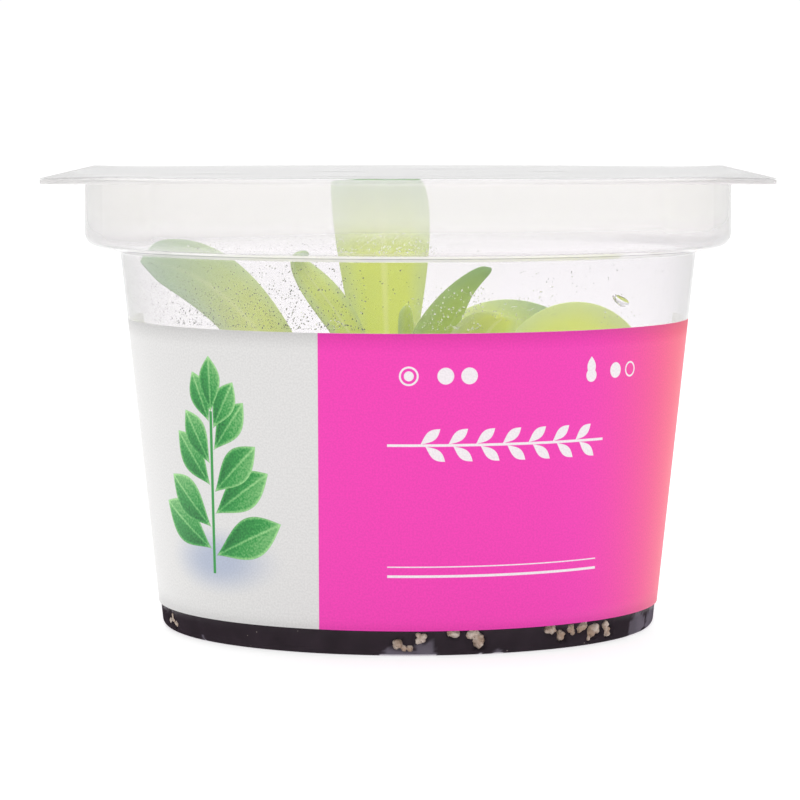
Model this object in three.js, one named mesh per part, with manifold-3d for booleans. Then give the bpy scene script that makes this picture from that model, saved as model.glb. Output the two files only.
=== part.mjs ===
// A butterwort grown in vitro: a rosette of fleshy leaves in black gel, inside a clear thin-walled cup
// with a square flange, a film sealed over it and a printed label wrapped round the wall.
// Millimetres, +Z up. The origin is the middle of the flat base. The label's window faces +Y.
import * as THREE from 'three';
import { mergeVertices } from 'three/addons/utils/BufferGeometryUtils.js';
import { ConvexGeometry } from 'three/addons/geometries/ConvexGeometry.js';
import Module from 'manifold-3d';

// Cup
const HEIGHT = 60.3; // base to the top of the film
const WALL = 0.6; // thickness of the clear plastic
const BASE_RADIUS = 31; // flat disc that the cup stands on
const HEEL = { radius: 33.1, z: 2.4 }; // where the base's round corner meets the tapered wall
const SHOULDER = { radius: 38.1, z: 49.8 }; // top of the tapered wall
const RIM = { radius: 42.75, z: 52.2, inset: 41.4, ledgeZ: 50.9 }; // upright band above the shoulder
const EASE = 0.2; // how near a rounded corner's control point comes to the sharp corner
const FLANGE = { side: 90, corner: 4, thickness: 0.5 };
const FILM = 0.2;
const ROUND_SIDES = 60; // facets round the cup, the label and the gel

// Label
const LABEL = { bottom: 3.4, top: 41, clearance: 0.1, thickness: 0.15, windowDegrees: 150 };

// Gel and its mineral grains
const GEL = { top: 15, clearance: 0.3, meniscus: 0.7, brim: 4, holeRadius: 2.7, holeBottom: 8 };
const GRAIN_GAP = 0.3; // between a grain and its pocket in the gel, or the cup
const GRAIN_RELIEF = 0.14; // how far a grain's knobs stand out or in, as a share of its radius

// Plant
const CROWN = { x: -1.5, y: 0, z: 17.6, radius: 3.9, height: 3.2, stub: 1.6, stubBottom: 9 };
const BLADE = { thickness: 1.3, edge: 0.62, base: 0.16, widest: 0.66 };

const wasm = await Module();
wasm.setup();
const butterwort = new THREE.Group();

// ---------------------------------------------------------------- tools

/** A closed three.js geometry as a solid. */
function solid(geometry) {
  const bare = geometry.index ? geometry.toNonIndexed() : geometry.clone();
  for (const name of ['normal', 'uv']) bare.deleteAttribute(name);
  const merged = mergeVertices(bare, 1e-4);
  const vertProperties = merged.attributes.position.array;
  const triVerts = new Uint32Array(merged.index.array);
  return new wasm.Manifold(new wasm.Mesh({ numProp: 3, vertProperties, triVerts }));
}

/** A solid as a three.js geometry. */
function geometryOf(made) {
  const { vertProperties, triVerts } = made.getMesh();
  const geometry = new THREE.BufferGeometry();
  geometry.setAttribute('position', new THREE.BufferAttribute(new Float32Array(vertProperties), 3));
  geometry.setIndex(new THREE.BufferAttribute(new Uint32Array(triVerts), 1));
  geometry.computeVertexNormals();
  return geometry;
}

/** Adds a named piece, from a solid, in a colour. */
function piece(name, made, color, roughness, options = {}) {
  const material = new THREE.MeshStandardMaterial({ color, roughness, metalness: 0, ...options });
  const mesh = new THREE.Mesh(geometryOf(made), material);
  mesh.name = name;
  butterwort.add(mesh);
}

/** A solid turned about the Z axis from a path of radius and height. */
const turned = (path, divisions = 3, sides = ROUND_SIDES) =>
  solid(new THREE.LatheGeometry(path.getPoints(divisions), sides).rotateX(Math.PI / 2));

/** Points of a square with round corners, in order. */
function roundedSquare(side, corner, steps = 5) {
  const points = [];
  for (let quarter = 0; quarter < 4; quarter++) {
    for (let step = 0; step <= steps; step++) {
      const angle = (quarter + step / steps) * Math.PI / 2;
      const middle = (quarter + 0.5) * Math.PI / 2;
      const reach = (side / 2 - corner) * Math.SQRT2;
      points.push(new THREE.Vector2(
        reach * Math.cos(middle) + corner * Math.cos(angle),
        reach * Math.sin(middle) + corner * Math.sin(angle),
      ));
    }
  }
  return points;
}

/** A flat sheet between two heights, from an outline and an optional round hole. */
function sheet(outline, bottom, thickness, holeRadius = 0) {
  const shape = new THREE.Shape(outline);
  if (holeRadius) {
    const ring = new THREE.EllipseCurve(0, 0, holeRadius, holeRadius);
    shape.holes.push(new THREE.Path(ring.getPoints(ROUND_SIDES)));
  }
  const flat = new THREE.ExtrudeGeometry(shape, { depth: thickness, bevelEnabled: false });
  return solid(flat.translate(0, 0, bottom));
}

/** Radius of the wall's outer face at a height. */
function wallRadius(z) {
  return THREE.MathUtils.mapLinear(z, HEEL.z, SHOULDER.z, HEEL.radius, SHOULDER.radius);
}

// ---------------------------------------------------------------- cup, film and label

const flangeTop = HEIGHT - FILM;
const flangeBottom = flangeTop - FLANGE.thickness;
const square = roundedSquare(FLANGE.side, FLANGE.corner);

function cup() {
  const rimTop = flangeTop - EASE / 10; // just under the flange's top face, so that the two fuse cleanly
  const rimInner = RIM.radius - WALL;
  const heelInner = HEEL.radius - WALL;
  const path = new THREE.Path();
  path.moveTo(0, 0).lineTo(BASE_RADIUS, 0);
  path.quadraticCurveTo(HEEL.radius - EASE, 0, HEEL.radius, HEEL.z);
  path.lineTo(SHOULDER.radius, SHOULDER.z).lineTo(RIM.inset, RIM.ledgeZ);
  path.quadraticCurveTo(RIM.radius, RIM.ledgeZ + EASE, RIM.radius, RIM.z);
  path.lineTo(RIM.radius, rimTop).lineTo(rimInner, rimTop).lineTo(rimInner, RIM.z);
  path.quadraticCurveTo(rimInner, RIM.ledgeZ + WALL + EASE, RIM.inset - WALL / 2, RIM.ledgeZ + WALL);
  path.lineTo(SHOULDER.radius - WALL, SHOULDER.z + WALL).lineTo(heelInner, HEEL.z);
  path.quadraticCurveTo(heelInner - EASE, WALL, BASE_RADIUS - EASE, WALL).lineTo(0, WALL);
  const flange = sheet(square, flangeBottom, FLANGE.thickness, RIM.radius - WALL / 2);
  return turned(path).add(flange);
}

/** The wrap, open at the back. */
function label() {
  const inner = LABEL.clearance;
  const outer = inner + LABEL.thickness;
  const corners = [[inner, LABEL.bottom], [outer, LABEL.bottom], [outer, LABEL.top], [inner, LABEL.top]];
  const path = new THREE.Path(corners.map(([out, z]) => new THREE.Vector2(wallRadius(z) + out, z)));
  path.closePath();
  const reach = 2 * FLANGE.side;
  const half = THREE.MathUtils.degToRad(LABEL.windowDegrees / 2);
  const wedge = [0, 1, -1].map((turn) =>
    new THREE.Vector2(turn * reach * Math.sin(half), Math.abs(turn) * reach * Math.cos(half)));
  return turned(path).subtract(sheet(wedge, 0, HEIGHT));
}

// ---------------------------------------------------------------- grains and gel

/** A repeatable number from 0 to 1 for a point. */
function scatter(x, y, z) {
  const wave = Math.sin(x * 12.9898 + y * 78.233 + z * 37.719) * 43758.5453;
  return wave - Math.floor(wave);
}

/** A knobbly grain round a point. */
function grain({ x, y, z, radius }) {
  const ball = new THREE.OctahedronGeometry(radius, 1);
  const at = ball.attributes.position;
  const point = new THREE.Vector3();
  for (let i = 0; i < at.count; i++) {
    point.fromBufferAttribute(at, i);
    const seed = [point.x + x, point.y + y, point.z + z].map((value) => Math.round(value * 100));
    point.multiplyScalar(1 - GRAIN_RELIEF * scatter(...seed));
    at.setXYZ(i, point.x + x, point.y + y, point.z + z);
  }
  return solid(ball);
}

/** The pocket that a cluster of grains lies in: a hull that stands clear of them all. */
function pocket(spots) {
  const corners = spots.flatMap(({ x, y, z, radius }) => {
    const ball = new THREE.OctahedronGeometry(radius + 2 * GRAIN_GAP, 1).translate(x, y, z);
    const at = ball.attributes.position;
    return Array.from({ length: at.count }, (_, i) => new THREE.Vector3().fromBufferAttribute(at, i));
  });
  return solid(new ConvexGeometry(corners));
}

/** Grains along the wall: [degrees from the front, height, radius] for each. */
function againstWall(list) {
  return list.map(([degrees, z, radius]) => {
    const angle = THREE.MathUtils.degToRad(degrees - 90);
    const facet = Math.cos(Math.PI / ROUND_SIDES);
    const heel = z < 2 * HEEL.z ? 2 * EASE : 0; // the round heel stands in from the wall's line
    const reach = wallRadius(z) * facet - WALL - GRAIN_GAP - heel - radius;
    return { x: reach * Math.cos(angle), y: reach * Math.sin(angle), z, radius };
  });
}

/** Grains lying in the gel's face: [x, y, radius] for each, sunk to a third of their height. */
const onTop = (list) => list.map(([x, y, radius]) => ({ x, y, z: GEL.top + radius * 0.35, radius }));

const grainClusters = {
  grains_front: againstWall([
    [-2.3, 1.85, 0.85], [-0.7, 1.6, 0.65], [0.7, 1.6, 0.65], [2.4, 2.15, 0.85], [3.4, 2.7, 0.7],
  ]),
  grains_front_right: againstWall([
    [10.3, 3, 0.9], [12.1, 3.6, 1], [14.1, 3, 1], [16, 2, 0.95],
  ]),
  grains_right: againstWall([
    [34.3, 2.7, 1], [36.8, 2, 1.05], [39.1, 2.65, 1], [41.2, 3.35, 1], [43.1, 2.75, 0.95],
    [45.2, 3.2, 0.95], [47, 2.15, 1.15], [49.4, 2.9, 1], [51.6, 2, 1],
  ]),
  grains_left: againstWall([[-72.8, 1.9, 0.85], [-70.4, 2.2, 0.9], [-68.2, 1.9, 0.9]]),
  grains_back_left: againstWall([
    [-168, 9.2, 1.5], [-165.9, 8.4, 1.4], [-164, 9.6, 1.4], [-165.6, 10.6, 1.3],
  ]),
  grains_back_right: againstWall([[163, 5.4, 1.3], [166.5, 6.6, 1.45], [170, 5.6, 1.3]]),
  grains_top_front: onTop([[-12, -21, 1.8], [-10.4, -21.6, 1.5], [-13, -19.8, 1.4], [-11, -19.9, 1.4]]),
  grains_top_right: onTop([[21, -10, 1.7], [21.9, -8.6, 1.5], [20.5, -8.4, 1.3]]),
  grains_top_back: onTop([[8, 24, 1.6], [10, 24.6, 1.5], [6.2, 24.6, 1.4]]),
  grains_top_left: onTop([[-22, 9, 1.5], [-23.4, 10.6, 1.5], [-21.8, 11, 1.3]]),
};

/** The gel: a plug of the cup's inner shape with a raised rim, the crown's hole and the grains' pockets. */
function gel() {
  const clear = WALL + GEL.clearance;
  const heel = HEEL.radius - clear;
  const brim = wallRadius(GEL.top) - clear;
  const path = new THREE.Path();
  path.moveTo(0, WALL).lineTo(BASE_RADIUS - clear, WALL);
  path.quadraticCurveTo(heel - 2 * EASE, WALL + EASE, heel - EASE, HEEL.z + GEL.clearance);
  path.lineTo(brim, GEL.top + GEL.meniscus);
  path.quadraticCurveTo(brim - GEL.meniscus, GEL.top, brim - GEL.brim, GEL.top).lineTo(0, GEL.top);
  const hole = new THREE.CylinderGeometry(GEL.holeRadius, GEL.holeRadius, GEL.top, 16)
    .rotateX(Math.PI / 2).translate(CROWN.x, CROWN.y, GEL.holeBottom + GEL.top / 2);
  let made = turned(path).subtract(solid(hole));
  for (const spots of Object.values(grainClusters)) made = made.subtract(pocket(spots));
  return made;
}

// ---------------------------------------------------------------- leaves

/** A leaf's half-width at a share of its length: a narrow base, a broad upper part and a round tip. */
function outline(share) {
  const { base, widest } = BLADE;
  if (share < widest) return base + (1 - base) * Math.sin(share / widest * Math.PI / 2) ** 1.5;
  return Math.sqrt(Math.max(0, 1 - ((share - widest) / (1 - widest)) ** 2.4));
}

/**
 * A closed blade along a curve. `path` gives four control points of reach from the crown's axis and
 * height, `heading` the way it points, `sway` how far its tip is swept sideways, `roll` how far its
 * tip is turned about its own length, `cup` how far its edges rise and `width` its full breadth.
 */
function blade({ heading, path, width, sway = 0, roll = 0, rollBase = 0, cup = 0.9 },
  lengthSteps = 12, acrossSteps = 6) {
  const { degToRad, lerp } = THREE.MathUtils;
  const out = new THREE.Vector3(Math.cos(degToRad(heading)), Math.sin(degToRad(heading)), 0);
  const across = new THREE.Vector3(-out.y, out.x, 0);
  const swept = [0, 0, 0.45, 1].map((share) => share * sway);
  const spine = new THREE.CubicBezierCurve3(...path.map(([reach, z], i) =>
    new THREE.Vector3(CROWN.x, CROWN.y, z).addScaledVector(out, reach).addScaledVector(across, swept[i])));

  const rings = [];
  for (let step = 0; step <= lengthSteps; step++) {
    const share = 0.988 * (1 - (1 - step / lengthSteps) ** 1.25);
    const along = spine.getTangent(share);
    const side = across.clone().addScaledVector(along, -across.dot(along)).normalize();
    side.applyAxisAngle(along, degToRad(lerp(rollBase, roll, share)));
    const up = new THREE.Vector3().crossVectors(along, side).normalize();
    const half = Math.max(0.5, width / 2 * outline(share));
    const thick = BLADE.thickness * lerp(1, 0.72, share);
    const ring = [];
    for (const face of [1, -1]) {
      for (let i = 0; i <= acrossSteps; i++) {
        const v = face * (1 - 2 * i / acrossSteps);
        const rise = cup * (half / (width / 2)) * v * v;
        const skin = face * thick / 2 * (1 - (1 - BLADE.edge) * v * v);
        ring.push(spine.getPoint(share).addScaledVector(side, v * half).addScaledVector(up, rise + skin));
      }
    }
    rings.push(ring);
  }

  const positions = [];
  const triangle = (...corners) => corners.forEach((p) => positions.push(p.x, p.y, p.z));
  const count = rings[0].length;
  for (let r = 0; r < lengthSteps; r++) {
    for (let i = 0; i < count; i++) {
      const next = (i + 1) % count;
      const [a, b, c, d] = [rings[r][i], rings[r][next], rings[r + 1][next], rings[r + 1][i]];
      triangle(a, b, c);
      triangle(a, c, d);
    }
  }
  for (const [ring, flip] of [[rings[0], true], [rings[lengthSteps], false]]) {
    const strips = count / 2 - 1;
    for (let i = 0; i < strips; i++) {
      const [a, b, c, d] = [ring[i], ring[i + 1], ring[count - 2 - i], ring[count - 1 - i]];
      if (flip) { triangle(a, c, b); triangle(a, d, c); } else { triangle(a, b, c); triangle(a, c, d); }
    }
  }
  const geometry = new THREE.BufferGeometry();
  geometry.setAttribute('position', new THREE.Float32BufferAttribute(positions, 3));
  return solid(geometry);
}

// Headings are degrees from +X towards +Y; the front is -90. Each path is [reach, height] four times.
const leaves = {
  leaf_left: {
    heading: 201.5, width: 15, rollBase: -52, roll: -41,
    path: [[4.7, 16.9], [15.2, 24], [16.1, 45.8], [35.8, 48.9]],
  },
  leaf_tall: {
    heading: 102, width: 13.6, cup: 0.5,
    path: [[4.3, 19.6], [8.6, 36.5], [7.7, 65.4], [19, 57]],
  },
  leaf_thin_left: {
    heading: 178.6, width: 11.6, rollBase: -36, roll: -1, cup: 0.55,
    path: [[4.3, 19.8], [-2, 37.3], [19.6, 49.9], [11.6, 49.3]],
  },
  leaf_curved_right: {
    heading: -79, width: 10.6, rollBase: 24, roll: 62, sway: 10.8, cup: 1.1,
    path: [[4.4, 19.4], [6.6, 30], [9.2, 43.5], [9.8, 47.8]],
  },
  leaf_right: {
    heading: -4.5, width: 15.5, rollBase: 24, roll: 50, sway: -1.6,
    path: [[4.7, 17.2], [13.3, 29], [20.8, 45.8], [32.3, 31]],
  },
  leaf_back_right: {
    heading: 41, width: 13.4, rollBase: 5, roll: 50,
    path: [[4.7, 17.2], [7.4, 29.8], [12.3, 42.5], [34.6, 35.9]],
  },
  leaf_front_right: {
    heading: -42, width: 11.3, roll: -16, cup: 0.3,
    path: [[4.7, 17.2], [12.1, 27], [13.1, 40.9], [18.6, 41.8]],
  },
  leaf_front: {
    heading: 268, width: 13,
    path: [[4.7, 16.9], [12, 22], [19, 34], [29, 26]],
  },
  leaf_front_left: {
    heading: 235, width: 12.5,
    path: [[4.8, 17], [11, 25], [19, 39], [29, 30]],
  },
  leaf_back_left: {
    heading: 148, width: 14,
    path: [[4.7, 17.2], [12, 25], [20, 39], [30, 31]],
  },
  leaf_back: {
    heading: 100, width: 13,
    path: [[4.7, 16.9], [14, 20], [20, 33], [30, 25]],
  },
};

const heartLeaves = [
  { heading: -56, width: 3.8, roll: 10, cup: 0.6, path: [[1, 18], [4.4, 25.6], [3.6, 33.8], [2.5, 43]] },
  { heading: 112, width: 4, path: [[1, 18], [1.8, 23], [1.3, 27], [0.8, 31]] },
  { heading: 30, width: 6, path: [[1, 18], [5, 25], [7, 30], [8, 34]] },
  { heading: 250, width: 5, path: [[1, 18], [5, 23], [6, 27], [7, 30]] },
  { heading: 0, width: 4, path: [[0, 18], [1, 22], [1, 26], [1.5, 29]] },
];

/** The crown with its root stub and the small leaves of the heart. */
function heart() {
  const ball = new THREE.SphereGeometry(1, 16, 8).rotateX(Math.PI / 2);
  ball.scale(CROWN.radius, CROWN.radius, CROWN.height).translate(CROWN.x, CROWN.y, CROWN.z);
  const stubLength = CROWN.z - CROWN.stubBottom;
  const stub = new THREE.CylinderGeometry(CROWN.stub, CROWN.stub * 0.6, stubLength, 10)
    .rotateX(Math.PI / 2).translate(CROWN.x, CROWN.y, CROWN.z - stubLength / 2);
  let made = solid(ball).add(solid(stub));
  for (const leaf of heartLeaves) made = made.add(blade(leaf, 8, 4));
  return made;
}

// ---------------------------------------------------------------- the object

piece('cup', cup(), '#eef0f1', 0.2, { transparent: true, opacity: 0.3 });
piece('lid_film', sheet(square, flangeTop, FILM), '#f3f4f5', 0.15, { transparent: true, opacity: 0.3 });
piece('label', label(), '#f540b4', 0.45);
piece('gel', gel(), '#2b272a', 0.3);
for (const [name, spots] of Object.entries(grainClusters)) {
  piece(name, spots.map(grain).reduce((all, one) => all.add(one)), '#d8c8b4', 0.9);
}
piece('crown', heart(), '#b9cf5a', 0.5);
for (const [name, leaf] of Object.entries(leaves)) piece(name, blade(leaf), '#bcd365', 0.5);

export default butterwort;
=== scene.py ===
"""Looks of a butterwort grown in vitro: leaves, gel and grains in a clear cup with a film and a label.

Blender 4.5. Lengths in the classes are millimetres and degrees; MM turns them into Blender's metres.
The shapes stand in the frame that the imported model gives: +Z up, the label's front towards -Y.
"""
from __future__ import annotations

import logging
import math
import random
from dataclasses import dataclass, field
from enum import Enum
from functools import reduce
from typing import Any, Callable, Iterable, Sequence

import bmesh
import bpy
from mathutils import Matrix, Quaternion, Vector, noise

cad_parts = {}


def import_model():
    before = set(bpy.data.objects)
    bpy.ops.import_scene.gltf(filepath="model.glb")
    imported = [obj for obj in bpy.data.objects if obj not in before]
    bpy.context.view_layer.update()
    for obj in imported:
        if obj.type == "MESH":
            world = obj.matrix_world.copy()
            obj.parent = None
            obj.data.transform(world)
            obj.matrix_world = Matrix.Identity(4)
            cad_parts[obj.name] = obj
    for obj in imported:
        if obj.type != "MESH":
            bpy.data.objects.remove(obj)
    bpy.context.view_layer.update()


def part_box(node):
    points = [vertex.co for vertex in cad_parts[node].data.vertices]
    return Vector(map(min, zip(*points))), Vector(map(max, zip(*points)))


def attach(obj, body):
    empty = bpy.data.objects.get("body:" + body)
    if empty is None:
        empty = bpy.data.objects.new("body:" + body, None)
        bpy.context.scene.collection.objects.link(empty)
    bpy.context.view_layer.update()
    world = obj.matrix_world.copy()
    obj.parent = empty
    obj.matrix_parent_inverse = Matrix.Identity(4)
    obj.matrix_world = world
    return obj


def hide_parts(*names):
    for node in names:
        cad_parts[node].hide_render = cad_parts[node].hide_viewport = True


LOG = logging.getLogger("butterwort")
MM = 0.001
BODY = "root"
SEED = 27


class Slot(Enum):
    """The record's material slots."""

    CUP = "cup_plastic"
    FILM = "lid_film"
    LABEL = "label_print"
    GEL = "gel"
    GRAINS = "grains"
    CROWN = "crown"
    LEAF = "leaf"


# ---------------------------------------------------------------- node and mesh tools


def linear(code: str) -> tuple[float, float, float, float]:
    """Turns an sRGB hex colour into linear RGBA.

    Args:
        code: Six hex digits, with or without a hash.

    Returns:
        The colour as Blender's sockets take it.
    """
    values = [int(code.lstrip("#")[i : i + 2], 16) / 255 for i in (0, 2, 4)]
    return (*(v / 12.92 if v <= 0.04045 else ((v + 0.055) / 1.055) ** 2.4 for v in values), 1.0)


class Nodes:
    """A node tree with short ways to add to it. All but add and split return an output socket."""

    def __init__(self, tree: bpy.types.NodeTree) -> None:
        """Takes the tree to add to."""
        self.tree = tree

    def add(self, kind: str, links: dict[Any, Any] | None = None, **settings: Any) -> Any:
        """Adds a node with its settings and links.

        Args:
            kind: The node's type without "ShaderNode", such as "TexNoise".
            links: For each input, by name or number, the output socket or the value that it takes.
            **settings: The node's own properties.

        Returns:
            The new node.
        """
        made = self.tree.nodes.new(kind if kind.startswith("NodeGroup") else "ShaderNode" + kind)
        for name, value in settings.items():
            setattr(made, name, value)
        for key, value in (links or {}).items():
            if isinstance(value, bpy.types.NodeSocket):
                self.tree.links.new(value, made.inputs[key])
            else:
                made.inputs[key].default_value = value
        return made

    def math(self, operation: str, *values: Any, clamp: bool = False) -> Any:
        """Adds one arithmetic step."""
        return self.add("Math", dict(enumerate(values)), operation=operation, use_clamp=clamp).outputs[0]

    def times(self, *values: Any) -> Any:
        """Multiplies values one after another."""
        return reduce(lambda first, second: self.math("MULTIPLY", first, second), values)

    def plus(self, *values: Any, clamp: bool = False) -> Any:
        """Adds values one after another, each sum clamped to 0 to 1 if asked."""
        return reduce(lambda first, second: self.math("ADD", first, second, clamp=clamp), values)

    def ramp(self, value: Any, low: float, high: float, start: float = 0, end: float = 1) -> Any:
        """Maps a value from one range smoothly onto another."""
        links = {"Value": value, 1: low, 2: high, 3: start, 4: end}
        return self.add("MapRange", links, interpolation_type="SMOOTHSTEP").outputs[0]

    def blend(self, share: Any, first: Any, second: Any) -> Any:
        """Mixes two colours, each a socket or an sRGB hex code, by a share."""
        pair = [linear(colour) if isinstance(colour, str) else colour for colour in (first, second)]
        return self.add("Mix", {0: share, 6: pair[0], 7: pair[1]}, data_type="RGBA").outputs[2]

    def vector(self, operation: str, first: Any, second: Any = None, output: Any = 0) -> Any:
        """Adds one vector step; output is the name or number of the socket wanted."""
        links = {0: first} if second is None else {0: first, 1: second}
        return self.add("VectorMath", links, operation=operation).outputs[output]

    def coords(self) -> Any:
        """The place on the object."""
        return self.add("TexCoord").outputs["Object"]

    def split(self, place: Any) -> Any:
        """The three parts of a vector, as the list of the node's outputs."""
        return self.add("SeparateXYZ", {0: place}).outputs

    def attribute(self, name: str, output: str = "Fac") -> Any:
        """An attribute that the mesh carries."""
        return self.add("Attribute", attribute_name=name).outputs[output]

    def cloud(self, size: float, detail: float = 2.0, place: Any = None) -> Any:
        """Soft noise.

        Args:
            size: The size of its swells, in the units of the place.
            detail: How many finer layers it has.
            place: The coordinates; the object's own generated ones if left out.

        Returns:
            The noise's socket.
        """
        links = {"Scale": 1 / size, "Detail": detail}
        return self.add("TexNoise", links if place is None else {"Vector": place, **links}).outputs["Fac"]

    def cells(self, size: float, place: Any, **settings: Any) -> Any:
        """The distance to the nearest of scattered points, which lie about a size apart."""
        return self.add("TexVoronoi", {"Vector": place, "Scale": 1 / size}, **settings).outputs["Distance"]

    def bump(self, strength: float, depth: float, height: Any) -> Any:
        """A normal that stands for relief of a depth in millimetres."""
        return self.add("Bump", {"Strength": strength, "Distance": depth * MM, "Height": height}).outputs[0]

    def facing(self) -> Any:
        """How far the face is turned from the eye, from 0 to 1."""
        return self.add("LayerWeight", {"Blend": 0.5}).outputs["Facing"]

    def shader(self, kind: str, links: dict[Any, Any]) -> Any:
        """Adds a surface shader."""
        return self.add("Bsdf" + kind, links).outputs[0]

    def mix(self, share: Any, first: Any, second: Any) -> Any:
        """Mixes two shaders by a share."""
        return self.add("MixShader", {0: share, 1: first, 2: second}).outputs[0]


class Paint(Nodes):
    """The nodes of a new material."""

    def __init__(self, name: str) -> None:
        """Makes the material, with nothing in it but an output.

        Args:
            name: The material's name.
        """
        self.material = bpy.data.materials.new(name)
        self.material.use_nodes = True
        super().__init__(self.material.node_tree)
        self.tree.nodes.clear()
        self.output = self.add("OutputMaterial")

    def finish(self, surface: Any) -> bpy.types.Material:
        """Joins the last shader to the output and returns the material."""
        self.tree.links.new(surface, self.output.inputs["Surface"])
        return self.material


def cast(name: str, bm: bmesh.types.BMesh, materials: Sequence[bpy.types.Material],
         replaces: Iterable[str] = (), subdivide: int = 0, recalculate: bool = True) -> None:
    """Turns a bmesh in millimetres into a finished piece that rides on the part.

    Args:
        name: The piece's name.
        bm: The mesh, in millimetres; it is freed.
        materials: The piece's materials, in the order of its faces' numbers.
        replaces: The CAD nodes that it stands for.
        subdivide: Levels of subdivision surface.
        recalculate: Whether its faces are turned outwards first.
    """
    if recalculate:
        bmesh.ops.remove_doubles(bm, verts=bm.verts, dist=1e-4)
        bmesh.ops.recalc_face_normals(bm, faces=bm.faces)
    bmesh.ops.scale(bm, vec=(MM, MM, MM), verts=bm.verts)
    for face in bm.faces:
        face.smooth = True
    mesh = bpy.data.meshes.new(name)
    bm.to_mesh(mesh)
    bm.free()
    for material in materials:
        mesh.materials.append(material)
    piece = bpy.data.objects.new(name, mesh)
    bpy.context.scene.collection.objects.link(piece)
    if subdivide:
        surface = piece.modifiers.new("Smooth", "SUBSURF")
        surface.levels = surface.render_levels = subdivide
    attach(piece, BODY)
    nodes = tuple(replaces)
    if nodes:
        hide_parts(*nodes)
    LOG.info("%s: %d faces, for %s", name, len(mesh.polygons), ", ".join(nodes) or "no node")


def turned(corners: Sequence[tuple[float, float]], rounds: dict[int, float], steps: int,
           segments: int = 6) -> bmesh.types.BMesh:
    """Spins an outline of radius and height about the Z axis.

    Args:
        corners: The outline's corners.
        rounds: For each corner to round, by its number, how far the rounding reaches.
        steps: How many steps the full turn takes.
        segments: How many steps each rounding takes.

    Returns:
        The closed shell.
    """
    bm = bmesh.new()
    verts = [bm.verts.new((radius, 0, z)) for radius, z in corners]
    for first, second in zip(verts, verts[1:]):
        bm.edges.new((first, second))
    for number, reach in rounds.items():
        bmesh.ops.bevel(bm, geom=[verts[number]], offset=reach, offset_type="OFFSET", segments=segments,
                        profile=0.5, affect="VERTICES", material=-1, clamp_overlap=True)
    bmesh.ops.spin(bm, geom=bm.verts[:] + bm.edges[:], cent=(0, 0, 0), axis=(0, 0, 1),
                   angle=math.tau, steps=steps, use_merge=True)
    bmesh.ops.remove_doubles(bm, verts=bm.verts, dist=1e-4)
    return bm


def on_square(turn: float, half: float, corner: float) -> Vector:
    """A point on the outline of a square with round corners.

    Args:
        turn: How far round it lies, from 0 to 1, starting at the middle of the +X side.
        half: Half the square's side.
        corner: The radius of its corners.

    Returns:
        The point, at height zero.
    """
    arc_start = 0.36  # share of each quarter turn that the straight half side takes
    quarter, part = divmod((turn % 1) * 4, 1)
    straight = half - corner
    if part < arc_start:
        point = Vector((half, straight * part / arc_start, 0))
    elif part > 1 - arc_start:
        point = Vector((straight * (1 - part) / arc_start, half, 0))
    else:
        angle = (part - arc_start) / (1 - 2 * arc_start) * math.pi / 2
        point = Vector((straight + corner * math.cos(angle), straight + corner * math.sin(angle), 0))
    return Matrix.Rotation(quarter * math.pi / 2, 3, "Z") @ point


def square_rim(bm: bmesh.types.BMesh, radius: float, half: float, corner: float) -> None:
    """Moves the points that lie on one circle out onto a square's outline.

    Args:
        bm: The mesh.
        radius: The circle's radius.
        half: Half the square's side.
        corner: The radius of its corners.
    """
    for vert in bm.verts:
        if abs(vert.co.xy.length - radius) < 1e-3:
            point = on_square(math.atan2(vert.co.y, vert.co.x) / math.tau, half, corner)
            vert.co.xy = point.xy


# ---------------------------------------------------------------- finishes


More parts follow.
